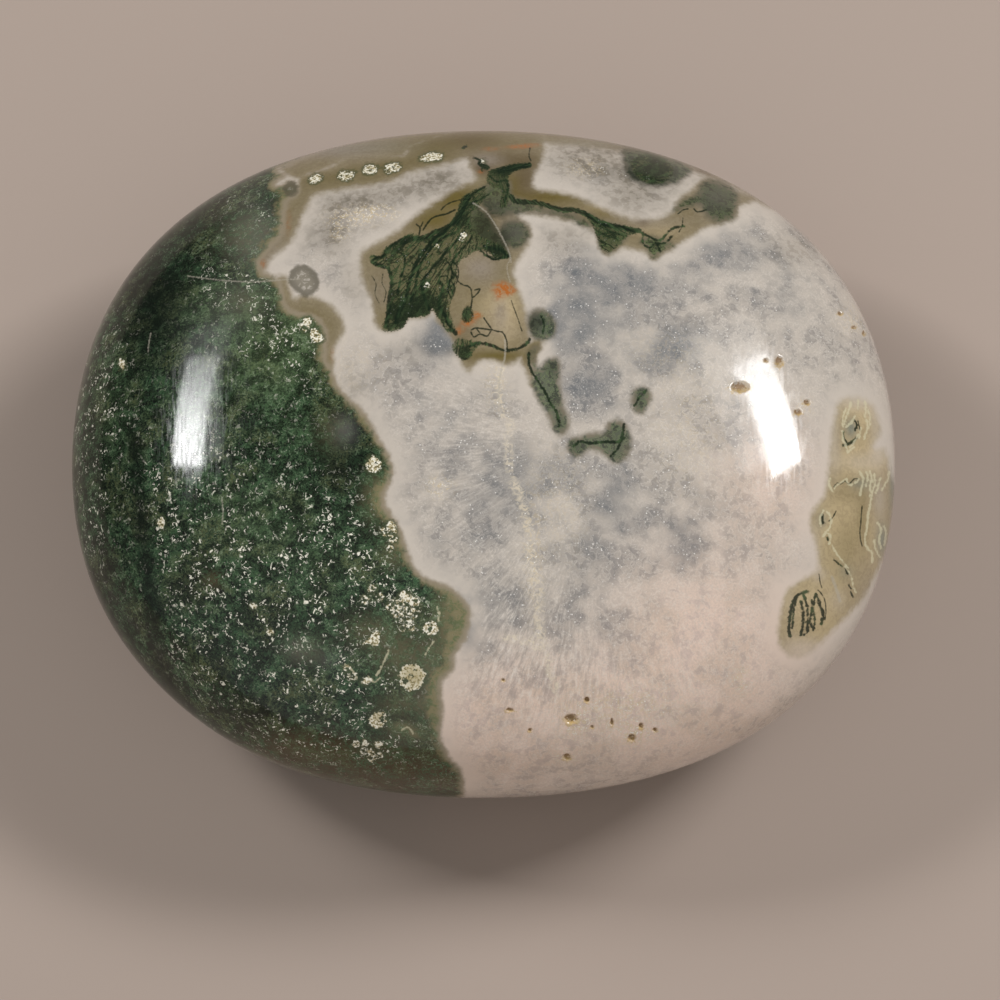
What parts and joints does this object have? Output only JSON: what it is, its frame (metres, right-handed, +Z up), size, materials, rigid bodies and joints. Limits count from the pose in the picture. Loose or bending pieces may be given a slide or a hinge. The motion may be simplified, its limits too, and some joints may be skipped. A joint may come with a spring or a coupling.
{
  "type": "moss agate palm stone",
  "caption": "Polished oval palm stone of moss agate, domed on both faces, dark mossy green at one end and milky white at the other, that lies on a small ground seat.",
  "frame": {"origin": "on the surface that the stone lies on, under the middle of its outline", "axes": "+Z up out of the decorated face and through the stone's least thickness, +X along its length, +Y across its width"},
  "size_m": [0.0618, 0.0522, 0.0245],
  "materials": {
    "polished_moss_agate": "high polish, milky white chalcedony with dark green mossy inclusions and tan windows"
  },
  "bodies": {
    "root": {"moss_agate_stone": "polished_moss_agate"}
  },
  "joints": []
}
